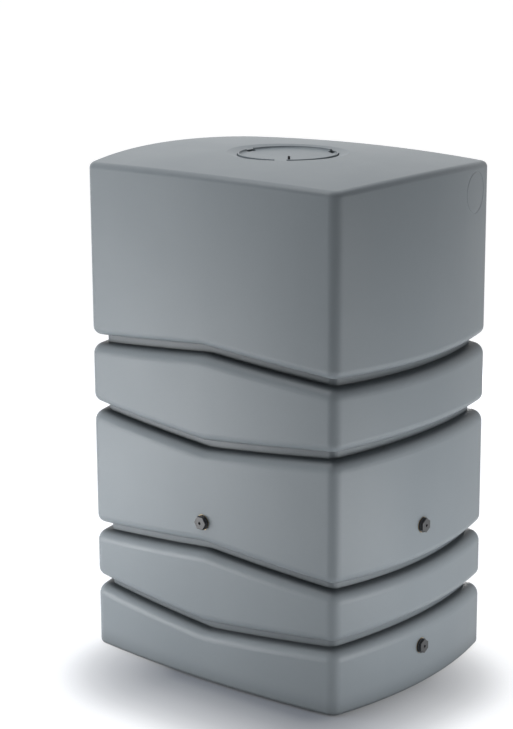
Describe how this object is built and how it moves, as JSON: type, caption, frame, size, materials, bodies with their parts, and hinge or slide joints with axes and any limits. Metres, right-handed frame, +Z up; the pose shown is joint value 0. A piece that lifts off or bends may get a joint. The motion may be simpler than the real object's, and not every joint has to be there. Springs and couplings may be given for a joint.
{
  "type": "rain tank",
  "caption": "Free-standing moulded rain tank with a bowed plan, chevron grooves, a sunken screw lid with finger notches and threaded outlets closed by hexagon plugs.",
  "frame": {"origin": "on the floor under the middle of the tank", "axes": "+Z up, -Y out of the wide front with the tap outlet, +X out of the right narrow side"},
  "size_m": [0.8228, 0.6375, 1.205],
  "materials": {
    "tank_plastic": "satin moulded grey, through-coloured",
    "lid_plastic": "satin moulded grey, through-coloured",
    "plug_plastic": "moulded black, slightly glossy",
    "screw_plastic": "moulded black",
    "seal_rubber": "smooth black rubber",
    "insert_brass": "turned brass"
  },
  "bodies": {
    "tank": {"tank_body": "tank_plastic", "front_tap_insert": "insert_brass", "right_upper_insert": "insert_brass", "right_lower_insert": "insert_brass", "left_upper_insert": "insert_brass", "left_lower_insert": "insert_brass"},
    "lid_seal": {"lid_seal": "seal_rubber"},
    "lid": {"lid": "lid_plastic", "lid_lock_screw": "screw_plastic"},
    "front_tap_seal": {"front_tap_seal": "seal_rubber"},
    "front_tap_plug": {"front_tap_plug": "plug_plastic"},
    "right_upper_seal": {"right_upper_seal": "seal_rubber"},
    "right_upper_plug": {"right_upper_plug": "plug_plastic"},
    "right_lower_seal": {"right_lower_seal": "seal_rubber"},
    "right_lower_plug": {"right_lower_plug": "plug_plastic"},
    "left_upper_seal": {"left_upper_seal": "seal_rubber"},
    "left_upper_plug": {"left_upper_plug": "plug_plastic"},
    "left_lower_seal": {"left_lower_seal": "seal_rubber"},
    "left_lower_plug": {"left_lower_plug": "plug_plastic"}
  },
  "joints": [
    {"name": "lid_lift", "type": "slide", "parent": "tank", "child": "lid_seal", "axis": [0, 0, 1], "range_m": [0, 0.0359]},
    {"name": "lid_unscrew", "type": "hinge", "parent": "lid_seal", "child": "lid", "pos_m": [0, 0, 1.1865], "axis": [0, 0, 1], "range_deg": [0, 540]},
    {"name": "front_tap_plug_travel", "type": "slide", "parent": "tank", "child": "front_tap_seal", "axis": [0, -1, 0], "range_m": [0, 0.01813]},
    {"name": "front_tap_plug_unscrew", "type": "hinge", "parent": "front_tap_seal", "child": "front_tap_plug", "pos_m": [0, -0.3135, 0.3885], "axis": [0, -1, 0], "range_deg": [0, 3600]},
    {"name": "right_upper_plug_travel", "type": "slide", "parent": "tank", "child": "right_upper_seal", "axis": [1, 0, 0], "range_m": [0, 0.01813]},
    {"name": "right_upper_plug_unscrew", "type": "hinge", "parent": "right_upper_seal", "child": "right_upper_plug", "pos_m": [0.40089, -0.015, 0.3885], "axis": [1, 0, 0], "range_deg": [0, 3600]},
    {"name": "right_lower_plug_travel", "type": "slide", "parent": "tank", "child": "right_lower_seal", "axis": [1, 0, 0], "range_m": [0, 0.01813]},
    {"name": "right_lower_plug_unscrew", "type": "hinge", "parent": "right_lower_seal", "child": "right_lower_plug", "pos_m": [0.40089, -0.015, 0.097], "axis": [1, 0, 0], "range_deg": [0, 3600]},
    {"name": "left_upper_plug_travel", "type": "slide", "parent": "tank", "child": "left_upper_seal", "axis": [-1, 0, 0], "range_m": [0, 0.01813]},
    {"name": "left_upper_plug_unscrew", "type": "hinge", "parent": "left_upper_seal", "child": "left_upper_plug", "pos_m": [-0.40089, -0.015, 0.3885], "axis": [-1, 0, 0], "range_deg": [0, 3600]},
    {"name": "left_lower_plug_travel", "type": "slide", "parent": "tank", "child": "left_lower_seal", "axis": [-1, 0, 0], "range_m": [0, 0.01813]},
    {"name": "left_lower_plug_unscrew", "type": "hinge", "parent": "left_lower_seal", "child": "left_lower_plug", "pos_m": [-0.40089, -0.015, 0.097], "axis": [-1, 0, 0], "range_deg": [0, 3600]}
  ],
  "couplings": [
    {"joint": "lid_unscrew", "follows": "lid_lift", "rad_per_m": 261.8},
    {"joint": "front_tap_plug_unscrew", "follows": "front_tap_plug_travel", "rad_per_m": 3463.7},
    {"joint": "right_upper_plug_unscrew", "follows": "right_upper_plug_travel", "rad_per_m": 3463.7},
    {"joint": "right_lower_plug_unscrew", "follows": "right_lower_plug_travel", "rad_per_m": 3463.7},
    {"joint": "left_upper_plug_unscrew", "follows": "left_upper_plug_travel", "rad_per_m": 3463.7},
    {"joint": "left_lower_plug_unscrew", "follows": "left_lower_plug_travel", "rad_per_m": 3463.7}
  ]
}
